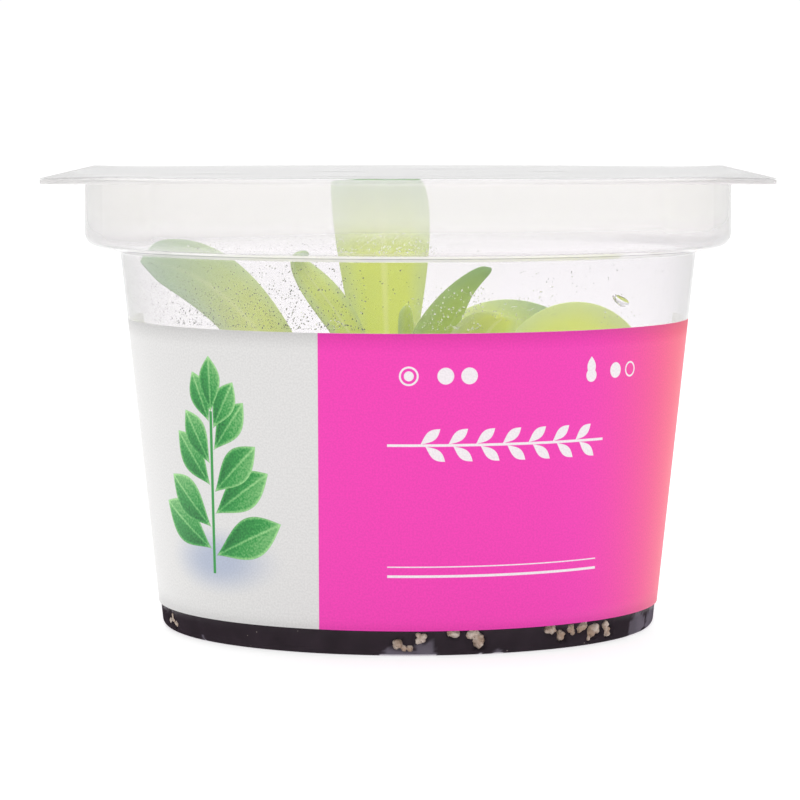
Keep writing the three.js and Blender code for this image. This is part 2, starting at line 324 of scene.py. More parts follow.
@dataclass(frozen=True)
class ClearPolypropylene:
    """Thermoformed polypropylene, under half a millimetre thick: clear with a milky cast.

    It passes nearly all light straight through and mirrors the room most at its edges. Its cast is
    thickest on the cooler near side, where damp air has fogged the inside high under the rim, and along
    the step of the shoulder, which is seen edge on. Along the step runs a grey line of painted shade, for
    the dark line that the step's inner corner shows seen edge on. A slightly darker zone a little inside
    each side of the rim is painted shade, for the wall seen doubled there. Wet gel against the wall
    clears all of it.
    """

    name: str = "polypropylene_thermoformed_clear"
    tint: str = "#FAF9FA"
    edge_tint: str = "#F3F2F4"
    cast_colour: str = "#F2F1F0"
    # Painted shade: the grey of a line along the shoulder's step, for the dark line its inner corner shows
    # seen edge on.
    crease_shade_colour: str = "#B2B2B8"
    reflectance: float = 0.02
    edge_reflectance: float = 0.9
    gloss_roughness: float = 0.07
    haze: float = 0.03
    edge_haze: float = 0.12
    wet_to: float = 15.0
    wet_soft: float = 0.3
    near_soft: float = 4.0
    fog_top: float = 0.31
    fog_left: float = 0.1
    fog_left_reach: tuple[float, float] = (-4.0, -30.0)
    fog_rim: float = 0.06
    fog_from: float = 51.2
    fog_to: float = 55.5
    step: tuple[float, float] = (49.9, 50.55)
    step_haze: float = 0.8
    crease_z: float = 50.3
    crease_half: float = 0.08
    zone: tuple[float, float] = (0.4, 0.68)
    doubled_shade_haze: float = 0.06

    def fog(self, paint: Paint, place: Any, near: Any) -> Any:
        """Builds the fog of the near side's inside.

        Args:
            paint: The material under way.
            place: The sockets of the place's three parts.
            near: The socket that is 1 on the near side.

        Returns:
            The fog's share of the cast.
        """
        start, end = self.fog_left_reach
        left = paint.ramp(place[0], start * MM, end * MM, 0, self.fog_left)
        top = paint.ramp(place[2], self.fog_from * MM, self.fog_to * MM, 0, self.fog_top)
        low = paint.ramp(place[2], self.step[1] * MM, (self.step[1] + 0.3) * MM, 0, self.fog_rim)
        return paint.times(paint.plus(left, top, low), near)

    def doubled(self, paint: Paint, place: Any, facing: Any) -> Any:
        """Builds the painted shade of the darker zones inside each side of the rim, where the wall is seen
        doubled.

        Args:
            paint: The material under way.
            place: The sockets of the place's three parts.
            facing: The socket that says how far the face is turned from the eye.

        Returns:
            The zones' share of the cast.
        """
        entering = paint.ramp(facing, self.zone[0] - 0.02, self.zone[0] + 0.02, 0, self.doubled_shade_haze)
        leaving = paint.ramp(facing, self.zone[1] - 0.01, self.zone[1] + 0.01, 1, 0.3)
        rim = paint.ramp(place[2], (self.step[1] + 0.3) * MM, (self.step[1] + 0.8) * MM)
        return paint.times(entering, leaving, rim)

    def step_share(self, paint: Paint, place: Any, near: Any) -> Any:
        """Builds the haze of the shoulder's step, on the near side.

        Args:
            paint: The material under way.
            place: The sockets of the place's three parts.
            near: The socket that is 1 on the near side.

        Returns:
            The step's share of the cast.
        """
        rising = paint.ramp(place[2], (self.step[0] - 0.1) * MM, self.step[0] * MM, 0, self.step_haze)
        falling = paint.ramp(place[2], self.step[1] * MM, (self.step[1] + 0.25) * MM, 1, 0)
        return paint.times(rising, falling, near)

    def material(self) -> bpy.types.Material:
        """Builds the finish.

        Returns:
            Its material.
        """
        paint = Paint(self.name)
        place = paint.split(paint.coords())
        facing = paint.facing()
        grazing = paint.math("POWER", facing, 4.0)
        dry = paint.ramp(place[2], (self.wet_to - self.wet_soft) * MM, (self.wet_to + self.wet_soft) * MM)
        near = paint.ramp(place[1], self.near_soft * MM, -self.near_soft * MM)
        fog = self.fog(paint, place, near)
        # Painted shade: darker zones inside each side of the rim, for the wall seen doubled.
        doubled = self.doubled(paint, place, facing)
        haze = paint.plus(paint.math("MULTIPLY_ADD", grazing, self.edge_haze, self.haze), fog, doubled)
        haze = paint.plus(paint.times(haze, dry), self.step_share(paint, place, near), clamp=True)
        # Painted shade: a grey line along the step, where its inner corner shows dark seen edge on.
        off_crease = paint.math("ABSOLUTE", paint.math("SUBTRACT", place[2], self.crease_z * MM))
        crease_shade = paint.ramp(off_crease, self.crease_half * MM * 0.5, self.crease_half * MM, 1, 0)
        cast_with_crease_shade = paint.blend(crease_shade, self.cast_colour, self.crease_shade_colour)
        tint = paint.blend(paint.times(grazing, dry), self.tint, self.edge_tint)
        milk = paint.shader("Diffuse", {0: cast_with_crease_shade})
        glow = paint.shader("Translucent", {0: cast_with_crease_shade})
        body = paint.mix(haze, paint.shader("Transparent", {0: tint}), paint.mix(0.5, milk, glow))
        gloss = paint.shader("Glossy", {"Roughness": self.gloss_roughness})
        mirrored = paint.math("POWER", facing, 5.0)
        share = paint.math("MULTIPLY_ADD", mirrored, self.edge_reflectance, self.reflectance)
        return paint.finish(paint.mix(paint.times(share, dry), body, gloss))


@dataclass(frozen=True)
class LiddingFilm:
    """Peelable clear lidding film: glossy, slightly slack over the mouth and embossed where it is sealed."""

    name: str = "lidding_film_clear"
    tint: str = "#FCFCFC"
    cast_colour: str = "#F3F2F2"
    gloss: str = "#F2F2F2"
    seal_inner: float = 42.9
    seal_outer: float = 44.4
    seal_soft: float = 0.2
    knurl: float = 0.55
    gloss_roughness: float = 0.08
    haze: float = 0.04
    edge_haze: float = 0.3
    seal_haze: float = 0.12
    reflectance: float = 0.04
    edge_reflectance: float = 0.8

    def material(self) -> bpy.types.Material:
        """Builds the finish.

        Returns:
            Its material.
        """
        paint = Paint(self.name)
        coords = paint.coords()
        place = paint.split(coords)
        level = paint.add("CombineXYZ", {0: place[0], 1: place[1]}).outputs[0]
        radius = paint.vector("LENGTH", level, output="Value")
        inner = paint.ramp(radius, (self.seal_inner - self.seal_soft) * MM, self.seal_inner * MM)
        outer = paint.ramp(radius, self.seal_outer * MM, (self.seal_outer + self.seal_soft) * MM, 1, 0)
        seal = paint.times(inner, outer)
        checks = paint.cells(self.knurl * MM, coords, distance="CHEBYCHEV")
        bump = paint.bump(0.15, 0.1, paint.times(seal, checks))
        facing = paint.facing()
        haze = paint.math("MULTIPLY_ADD", paint.math("POWER", facing, 6.0), self.edge_haze, self.haze)
        haze = paint.plus(haze, paint.times(seal, self.seal_haze), clamp=True)
        through = paint.shader("Transparent", {0: linear(self.tint)})
        milk = paint.shader("Diffuse", {0: linear(self.cast_colour)})
        gloss = paint.shader("Glossy", {
            "Color": linear(self.gloss), "Roughness": self.gloss_roughness, "Normal": bump})
        mirrored = paint.math("POWER", facing, 5.0)
        share = paint.math("MULTIPLY_ADD", mirrored, self.edge_reflectance, self.reflectance)
        return paint.finish(paint.mix(share, paint.mix(haze, through, milk), gloss))


@dataclass(frozen=True)
class PrintedLeaf:
    """One leaf of a printed sprig: where it springs from, which way it points, and its size."""

    x: float
    z: float
    angle: float
    length: float
    width: float


class Artwork(Paint):
    """The nodes of a flat print, drawn over the millimetres that the mesh carries as print_mm."""

    def __init__(self, name: str, edge: float) -> None:
        """Starts the print.

        Args:
            name: The material's name.
            edge: How far an outline is blurred to each side, in millimetres.
        """
        super().__init__(name)
        self.edge = edge
        self.place = self.attribute("print_mm", "Vector")
        self.axes = self.split(self.place)
        self.drawing = self.leaf_drawing()

    def leaf_drawing(self) -> bpy.types.NodeTree:
        """Builds the group that draws one pointed oval leaf with a midrib.

        Returns:
            A node group with outputs for the leaf's mask and its tone from dark to light.
        """
        tree = bpy.data.node_groups.new("printed_leaf", "ShaderNodeTree")
        for name in ("Place", "Root", "Along", "Size"):
            tree.interface.new_socket(name, in_out="INPUT", socket_type="NodeSocketVector")
        for name in ("Mask", "Tone"):
            tree.interface.new_socket(name, in_out="OUTPUT", socket_type="NodeSocketFloat")
        group = Nodes(tree)
        place, root, along, measures = group.add("NodeGroupInput").outputs[:4]
        offset = group.vector("SUBTRACT", place, root)
        ahead = group.vector("DOT_PRODUCT", offset, along, output=1)
        aside = group.split(group.vector("CROSS_PRODUCT", offset, along))[2]
        size = group.split(measures)
        share = group.math("DIVIDE", ahead, size[0], clamp=True)
        bulge = group.math("SINE", group.times(group.math("POWER", share, 1.25), math.pi))
        off = group.math("ABSOLUTE", aside)
        room = group.math("SUBTRACT", group.times(size[1], bulge), off)
        rib = group.ramp(off, 0, 0.28, 0.3, 0)
        rim = group.ramp(room, 0.1, 0.55, 0.34, 0)
        side = group.ramp(aside, -1.2, 1.2, -0.1, 0.12)
        tone = group.plus(group.math("MULTIPLY_ADD", share, 0.42, 0.2), side)
        drawn = {"Mask": group.ramp(room, 0, self.edge * 2), "Tone": group.plus(tone, group.plus(rib, rim))}
        group.add("NodeGroupOutput", drawn)
        return tree

    def leaves(self, leaves: Sequence[PrintedLeaf]) -> tuple[Any, Any]:
        """Draws leaves over one another.

        Args:
            leaves: The leaves, the lowest first.

        Returns:
            The sockets of the whole mask and of the tone on top.
        """
        mask: Any = 0.0
        tone: Any = 0.0
        for leaf in leaves:
            turn = math.radians(leaf.angle)
            drawn = self.add("Group", {"Place": self.place}, node_tree=self.drawing)
            drawn.inputs["Root"].default_value = (leaf.x, leaf.z, 0)
            drawn.inputs["Along"].default_value = (math.cos(turn), math.sin(turn), 0)
            drawn.inputs["Size"].default_value = (leaf.length, leaf.width / 2, 0)
            tone = self.add("Mix", {0: drawn.outputs["Mask"], 2: tone, 3: drawn.outputs["Tone"]}).outputs[0]
            mask = self.math("MAXIMUM", mask, drawn.outputs["Mask"])
        return mask, tone

    def disc(self, x: float, z: float, radius: float, hole: float = 0.0) -> Any:
        """Draws a filled dot, or a ring if it has a hole.

        Args:
            x: The middle's place along the label.
            z: The middle's height.
            radius: Its radius.
            hole: The radius of its hole.

        Returns:
            The socket of its mask.
        """
        span = self.vector("DISTANCE", self.place, (x, z, 0), output="Value")
        mask = self.ramp(span, radius - self.edge, radius + self.edge, 1, 0)
        if hole:
            mask = self.times(mask, self.ramp(span, hole - self.edge, hole + self.edge))
        return mask

    def rule(self, left: float, right: float, z: float, thick: float) -> Any:
        """Draws a level line.

        Args:
            left: Where it starts along the label.
            right: Where it ends.
            z: The height of its middle.
            thick: How thick it is.

        Returns:
            The socket of its mask.
        """
        masks = []
        for axis, middle, size in ((1, z, thick), (0, (left + right) / 2, right - left)):
            off = self.math("ABSOLUTE", self.math("SUBTRACT", self.axes[axis], middle))
            masks.append(self.ramp(off, size / 2 - self.edge, size / 2 + self.edge, 1, 0))
        return self.times(*masks)


@dataclass(frozen=True)
class SatinLabel:
    """Offset-printed white film label with a satin varnish: flat inks over a very fine screen grain.

    Places on the print are millimetres along the label from its middle and up from the base.
    """

    name: str = "label_offset_print_satin"
    stock: str = "#E0DFDE"
    ink: str = "#F344B7"
    ink_warm: str = "#F35A74"
    mark: str = "#F3ECF0"
    shade: str = "#A9B4CC"
    leaf_dark: str = "#14482C"
    leaf_mid: str = "#3E9A4E"
    leaf_light: str = "#A6DC96"
    back_colours: tuple[str, str] = ("#ECEBE9", "#F3F2F0")
    split: float = -11.4
    warm_from: float = 21.0
    warm_to: float = 52.0
    edge: float = 0.05
    roughness: float = 0.42
    screen: float = 0.25
    stem: float = -27.6
    foot: float = 9.6
    dots_z: float = 35.7
    line_z: float = 27.0
    shadow_place: tuple[float, float, float] = (-27.0, 11.2, 0)
    shadow_reach: tuple[float, float] = (2.0, 11.5)
    mottle: float = 0.3125
    drop_tip: PrintedLeaf = PrintedLeaf(25.0, 34.5, 90, 3.2, 1.5)

    def sprig(self) -> list[PrintedLeaf]:
        """Plans a leafy twig that stands in the pale panel.

        Returns:
            Pairs of leaves up a stem, with one on top.
        """
        rise, first = 4.1, self.foot + 2.6
        leaves = []
        for pair in range(5):
            z = first + rise * pair
            length = 11.8 - 1.15 * pair
            lean = 24 + 9 * pair
            lift = 0.9 if pair % 2 else -0.4
            leaves.append(PrintedLeaf(self.stem + 0.3, z + lift, lean, length, 5.4 - 0.4 * pair))
            leaves.append(PrintedLeaf(self.stem - 0.3, z - lift, 180 - lean - 4, length, 5.4 - 0.4 * pair))
        leaves.append(PrintedLeaf(self.stem, first + rise * 4.4, 92, 7.4, 3.9))
        return leaves

    def ornament(self) -> list[PrintedLeaf]:
        """Small plain leaves along a line, for the middle of the bright panel."""
        return [PrintedLeaf(1.4 + 3.5 * step + aside, self.line_z, angle, 3.4, 1.35)
                for step in range(7) for aside, angle in ((0.0, 38), (0.6, -38))]

    def picture(self, art: Artwork) -> Any:
        """Draws the pale panel: the sprig with its stem over a soft bluish shadow.

        Args:
            art: The print under way.

        Returns:
            The socket of the panel's colour.
        """
        spot = art.vector("SUBTRACT", art.place, self.shadow_place)
        spot = art.vector("MULTIPLY", spot, (1.0, 2.3, 0.0))
        shadow = art.ramp(art.vector("LENGTH", spot, output="Value"), *self.shadow_reach, 0.8, 0)
        stock = art.blend(shadow, self.stock, self.shade)
        stem = art.rule(self.stem - 0.25, self.stem + 0.25, 20.0, 21.0)
        stock = art.blend(stem, stock, self.leaf_mid)
        mask, tone = art.leaves(self.sprig())
        mottle = art.ramp(art.cloud(self.mottle, 4.0, art.place), 0.3, 0.7, -0.12, 0.12)
        greens = art.add("ValToRGB", {0: art.plus(tone, mottle, clamp=True)})
        greens.color_ramp.elements[0].color = linear(self.leaf_dark)
        greens.color_ramp.elements[1].color = linear(self.leaf_light)
        greens.color_ramp.elements.new(0.45).color = linear(self.leaf_mid)
        return art.blend(mask, stock, greens.outputs[0])

    def marks(self, art: Artwork) -> Any:
        """Draws the bright panel's marks: dots, rings, a drop, rules and a leafy line.

        Args:
            art: The print under way.

        Returns:
            The socket of the mask of all the marks.
        """
        z, left = self.dots_z, -2.6
        discs = ((0.1, z, 0.62), (0.1, z, 1.22, 0.98), (4.7, z, 1.05), (7.7, z, 1.05), (29.3, z, 1.0),
                 (32.2, z, 1.0, 0.78), (25.0, z - 0.45, 0.85))
        rules = ((27.2, self.line_z, 0.32), (26.4, 10.4, 0.32), (26.4, 11.6, 0.14))
        masks = [art.disc(*disc) for disc in discs] + [art.rule(left, *rule) for rule in rules]
        masks += [art.leaves(leaves)[0] for leaves in (self.ornament(), [self.drop_tip])]
        return reduce(lambda first, second: art.math("MAXIMUM", first, second), masks)

    def material(self) -> bpy.types.Material:
        """Builds the printed face.

        Returns:
            Its material.
        """
        art = Artwork(self.name, self.edge)
        along = art.axes[0]
        bright = art.ramp(along, self.split - self.edge, self.split + self.edge)
        ink = art.blend(art.ramp(along, self.warm_from, self.warm_to), self.ink, self.ink_warm)
        pale = self.picture(art)
        vivid = art.blend(self.marks(art), ink, self.mark)
        # Screen grain: the dots of such printing are about 0.15 mm, drawn larger so that they show.
        screen = art.cloud(self.screen, 2.0, art.place)
        printed = art.blend(bright, pale, vivid)
        colour = art.vector("MULTIPLY", printed, art.ramp(screen, 0.3, 0.7, 0.95, 1.05))
        return art.finish(art.shader("Principled", {
            "Base Color": colour, "Roughness": self.roughness, "IOR": 1.5,
            "Normal": art.bump(0.04, 0.05, screen), "Specular IOR Level": 0.2}))

    def back(self) -> bpy.types.Material:
        """Builds the label's own white back, which shows through the wall.

        Returns:
            Its material.
        """
        paint = Paint("label_film_white_back")
        colour = paint.blend(paint.cloud(2 * MM), *self.back_colours)
        return paint.finish(paint.shader("Principled", {"Base Color": colour, "Roughness": 0.6}))


@dataclass(frozen=True)
class BlackAgar:
    """Set agar darkened with charcoal: near black, wet and glossy, with fine pale flecks.

    Low down, where it fills the cup's round heel, it clings to the plastic and mirrors nothing.
    """

    name: str = "agar_gel_charcoal"
    dark: str = "#2B262A"
    brown: str = "#423A40"
    fleck: str = "#8E8580"
    lifted: str = "#78737D"
    edge_line: str = "#D9D6DB"
    edge_line_z: tuple[float, float] = (0.3, 0.42)
    clinging: tuple[float, float] = (2.4, 4.0)
    swirl_size: float = 4.0
    fleck_spacing: float = 1.1
    fleck_size: tuple[float, float] = (0.06, 0.1)
    roughness: float = 0.2
    ior: float = 1.34

    def material(self) -> bpy.types.Material:
        """Builds the finish.

        Returns:
            Its material.
        """
        paint = Paint(self.name)
        coords = paint.coords()
        cloud = paint.cloud(self.swirl_size * MM, 5.0, coords)
        colour = paint.blend(cloud, self.dark, self.brown)
        dust, spread = paint.cells(self.fleck_spacing * MM, coords), paint.cloud(3 * MM, 2.0, coords)
        flecks = paint.times(paint.ramp(dust, *self.fleck_size, 1, 0), paint.ramp(spread, 0.5, 0.6))
        colour = paint.blend(flecks, colour, self.fleck)
        loose = paint.attribute("patch")
        streaks = paint.times(loose, paint.ramp(cloud, 0.3, 0.75, 0.55, 0.95))
        colour = paint.blend(streaks, colour, self.lifted)
        height = paint.split(coords)[2]
        low, high = (z * MM for z in self.edge_line_z)
        line = paint.times(paint.ramp(loose, 0.4, 0.8), paint.ramp(height, low, high, 0.8, 0))
        colour = paint.blend(line, colour, self.edge_line)
        wet = paint.shader("Principled", {
            "Base Color": colour, "Roughness": self.roughness, "IOR": self.ior,
            "Normal": paint.bump(0.2, 0.3, cloud), "Specular IOR Level": 0.3})
        low, high = (z * MM for z in self.clinging)
        matt = paint.shader("Diffuse", {"Color": colour})
        return paint.finish(paint.mix(paint.ramp(height, low, high), matt, wet))


@dataclass(frozen=True)
class PumiceGrain:
    """Expanded mineral grains: chalky cream to tan, matt and full of pores."""

    name: str = "pumice_grain"
    pale: str = "#E6DACA"
    tan: str = "#B59D86"
    pore_shade: str = "#5C473A"
    mottle_size: float = 1.3
    pore_spacing: float = 0.45
    roughness: float = 0.85

    def material(self) -> bpy.types.Material:
        """Builds the finish.

        Returns:
            Its material.
        """
        paint = Paint(self.name)
        coords = paint.coords()
        cloud = paint.cloud(self.mottle_size * MM, 4.0, coords)
        pores = paint.cells(self.pore_spacing * MM, coords)
        colour = paint.blend(paint.ramp(cloud, 0.35, 0.68), self.tan, self.pale)
        # Painted shade: the colour darkens in the pits, as shade in hollows.
        colour = paint.blend(paint.ramp(pores, 0.08, 0.26, 0.75, 0), colour, self.pore_shade)
        bump = paint.bump(0.7, 0.12, paint.times(paint.ramp(pores, 0.05, 0.4), cloud))
        grain = {"Base Color": colour, "Roughness": self.roughness, "Normal": bump}
        return paint.finish(paint.shader("Principled", grain))


@dataclass(frozen=True)
class LeafTissue:
    """Fleshy, hairless-looking leaf with thin tissue: lime where light comes through, paler and greyer to
    the edge. The pale edge is partly the leaf's own colour and partly painted light, lightened to make up
    for the shade that falls on the blade's turned edges.

    A wet film of mucilage gives it a soft broad sheen, and its fine glands a grain of about 0.3 mm.
    """

    name: str = "leaf_tissue"
    heart: str = "#F0F68A"
    blade: str = "#E4EC9A"
    # Partly painted light: the blade's edge colour is lightened to make up for the shade on its turned
    # edges.
    edge: str = "#E3ECB8"
    tip: str = "#A4C2A6"
    rib: str = "#F8FAC8"
    # Painted shade: the darker green that a leaf's tone blends in, for leaves that lie in shadow.
    shade_green: str = "#8DB458"
    through: float = 0.58
    gland: float = 0.32
    mottle_size: float = 5.0
    roughness: float = 0.42
    ior: float = 1.4
    depth: float = 0.8
    depth_colour: tuple[float, float, float] = (0.9, 1.0, 0.3)

    def colour(self, paint: Paint, cloud: Any) -> Any:
        """Works out the colour from the blade's own lengthwise and crosswise shares.

        Args:
            paint: The material under way.
            cloud: The socket of a soft noise that keeps the bands from being even.

        Returns:
            The colour's socket.
        """
        along = paint.attribute("along")
        across = paint.math("ABSOLUTE", paint.attribute("across"))
        drift = paint.math("MULTIPLY_ADD", cloud, 0.5, -0.25)
        colour = paint.blend(paint.plus(along, drift, clamp=True), self.heart, self.blade)
        # Partly painted light: the edges are paler, partly their own colour and partly lightened against
        # shade.
        margin_with_painted_light = paint.plus(paint.ramp(across, 0.45, 1.0), drift, clamp=True)
        colour = paint.blend(margin_with_painted_light, colour, self.edge)
        colour = paint.blend(paint.ramp(along, 0.5, 0.9, 0, 0.95), colour, self.tip)
        rib = paint.times(paint.ramp(across, 0.0, 0.12, 0.8, 0), paint.ramp(along, 0.3, 0.95, 1, 0))
        colour = paint.blend(rib, colour, self.rib)
        # Painted shade: a leaf's tone darkens its green where the leaf lies in shadow.
        return paint.blend(paint.attribute("tone"), colour, self.shade_green)

    def material(self) -> bpy.types.Material:
        """Builds the finish.

        Returns:
            Its material.
        """
        paint = Paint(self.name)
        coords = paint.coords()
        cloud = paint.cloud(self.mottle_size * MM, 4.0, coords)
        colour = self.colour(paint, cloud)
        glands = paint.ramp(paint.cells(self.gland * MM, coords), 0.0, 0.35, 1, 0)
        bump = paint.bump(0.25, 0.12, paint.math("MULTIPLY_ADD", glands, 0.5, cloud))
        skin = paint.shader("Principled", {
            "Base Color": colour, "Roughness": self.roughness, "IOR": self.ior, "Normal": bump,
            "Subsurface Weight": 0.25, "Subsurface Radius": self.depth_colour,
            "Subsurface Scale": self.depth * MM})
        return paint.finish(paint.mix(self.through, skin, paint.shader("Translucent", {"Color": colour})))


@dataclass(frozen=True)
class Water:
    """Condensed water in small beads: clear where large, and dark where fine, where a grey tint given to the
    fine beads is painted shade for the light that such a bead bends away.
    """

    name: str = "water_beads_clear"
    tint: str = "#FDFDFD"
    shadow_tint: str = "#F6F6F6"
    ior: float = 1.33

    def material(self) -> bpy.types.Material:
        """Builds the finish, which lets lamps through so that the beads cast no hard shadow.

        Returns:
            Its material.
        """
        paint = Paint(self.name)
        glass = paint.shader("Principled", {
            "Base Color": linear(self.tint), "Roughness": 0.0, "IOR": self.ior, "Transmission Weight": 1.0})
        clear = paint.shader("Transparent", {0: linear(self.shadow_tint)})
        return paint.finish(paint.mix(paint.add("LightPath").outputs["Is Shadow Ray"], glass, clear))


# ---------------------------------------------------------------- sub-assemblies


@dataclass
class Cup:
    """The clear cup: base, tapered wall, shoulder, rim band and square flange."""

    steps: int = 192
    wall: float = 0.22
    base_wall: float = 0.12
    heel_round: float = 0.9
    heel_radius: float = 33.1
    heel_z: float = 2.4
    shoulder_radius: float = 38.1
    shoulder_z: float = 49.8
    ledge_z: float = 50.9
    rim_radius: float = 42.75
    flange_corner: float = 4.0
    flange: float = 0.5
    half: float = field(init=False)
    top: float = field(init=False)

    def __post_init__(self) -> None:
        """Takes the flange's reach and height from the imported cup."""
        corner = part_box("cup")[1]
        self.half = corner.x / MM
        self.top = corner.z / MM

    def wall_radius(self, z: float) -> float:
        """The radius of the tapered wall's outer face at a height."""
        share = (z - self.heel_z) / (self.shoulder_z - self.heel_z)
        return self.heel_radius + share * (self.shoulder_radius - self.heel_radius)

    def inner_radius(self, z: float) -> float:
        """Finds the radius of the inside face.

        Args:
            z: The height, up to the rim's.

        Returns:
            The radius.
        """
        if z < self.shoulder_z + self.wall:
            return self.wall_radius(z) - self.wall
        return self.rim_radius - self.wall

    def build(self) -> None:
        """Spins the cup in one shell and squares its flange."""
        wall, rim = self.wall, self.rim_radius
        foot = self.wall_radius(0)
        corners = [
            (0, 0), (foot, 0), (self.shoulder_radius, self.shoulder_z), (rim, self.ledge_z + 0.1),
            (rim, self.top - self.flange), (self.half, self.top - self.flange), (self.half, self.top),
            (rim - wall, self.top), (rim - wall, self.ledge_z + 0.1 + wall),
            (self.shoulder_radius - wall, self.shoulder_z + wall), (foot - wall, self.base_wall),
            (0, self.base_wall),
        ]
        heel = self.heel_round
        rounds = {1: heel + 0.1, 2: 0.35, 3: 1.25, 4: 0.3, 7: 0.5, 8: 0.9, 9: 0.6, 10: heel}
        bm = turned(corners, rounds, self.steps)
        square_rim(bm, self.half, self.half, self.flange_corner)
        cast("cup_shell", bm, [ClearPolypropylene().material()], ["cup"])


@dataclass
class LidFilm:
    """The film sealed on the flange, slack over the cup's mouth."""

    cup: Cup
    thickness: float = 0.06
    rings: int = 44
    sag: float = 0.13
    wave: float = 9.0

    def build(self) -> None:
        """Spins a disc, squares its edge, slackens its middle and gives it its thickness."""
        low, high = (corner.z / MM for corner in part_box("lid_film"))
        half, mouth = self.cup.half, self.cup.rim_radius
        bm = bmesh.new()
        verts = [bm.verts.new((half * ring / self.rings, 0, 0)) for ring in range(self.rings + 1)]
        for first, second in zip(verts, verts[1:]):
            bm.edges.new((first, second))
        bmesh.ops.spin(bm, geom=bm.verts[:] + bm.edges[:], cent=(0, 0, 0), axis=(0, 0, 1),
                       angle=math.tau, steps=self.cup.steps, use_merge=True)
        bmesh.ops.remove_doubles(bm, verts=bm.verts, dist=1e-4)
        square_rim(bm, half, half, self.cup.flange_corner)
        for vert in bm.verts:
            slack = max(0.0, 1 - (vert.co.xy.length / (mouth - 1)) ** 4)
            ripple = noise.noise(Vector((vert.co.x / self.wave, vert.co.y / self.wave * 0.55, SEED)))
            vert.co.z = high - self.thickness - self.sag * slack * (0.5 + ripple * 0.9)
        bmesh.ops.solidify(bm, geom=bm.faces[:], thickness=-self.thickness)
        for vert in bm.verts:
            vert.co.z = min(max(vert.co.z, low), high)
        cast("film_sheet", bm, [LiddingFilm().material()], ["lid_film"])


@dataclass
class Label:
    """The printed wrap on the tapered wall."""

    cup: Cup
    reach: float = 105.0
    thickness: float = 0.08
    lift: float = 0.03
    columns: int = 240
    rows: int = 16

    def build(self) -> None:
        """Bends a grid round the wall, keeps each point's place on the print, and gives it its thickness."""
        low, high = (corner.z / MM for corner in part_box("label"))
        bm = bmesh.new()
        bmesh.ops.create_grid(bm, x_segments=self.columns, y_segments=self.rows, size=1)
        print_mm = bm.verts.layers.float_vector.new("print_mm")
        for vert in bm.verts:
            angle = math.radians(self.reach) * vert.co.x
            z = low + (high - low) * (vert.co.y + 1) / 2
            radius = self.cup.wall_radius(z) + self.lift
            vert[print_mm] = (angle * radius, z, 0)
            vert.co = Vector((radius * math.sin(angle), -radius * math.cos(angle), z))
        bmesh.ops.recalc_face_normals(bm, faces=bm.faces)
        middle = min(bm.faces, key=lambda face: abs(face.calc_center_median().x))
        if middle.normal.y > 0:
            bmesh.ops.reverse_faces(bm, faces=bm.faces)
        bmesh.ops.solidify(bm, geom=bm.faces[:], thickness=self.thickness)
        bmesh.ops.recalc_face_normals(bm, faces=bm.faces)
        for face in bm.faces:
            centre = face.calc_center_median()
            outwards = Vector((centre.x, centre.y, 0)).normalized()
            face.material_index = 0 if face.normal.dot(outwards) > 0.5 else 1
        finish = SatinLabel()
        cast("label_wrap", bm, [finish.material(), finish.back()], ["label"])


@dataclass(frozen=True)
class Spot:
    """A place for one grain: its middle and its radius."""

    x: float
    y: float
    z: float
    radius: float


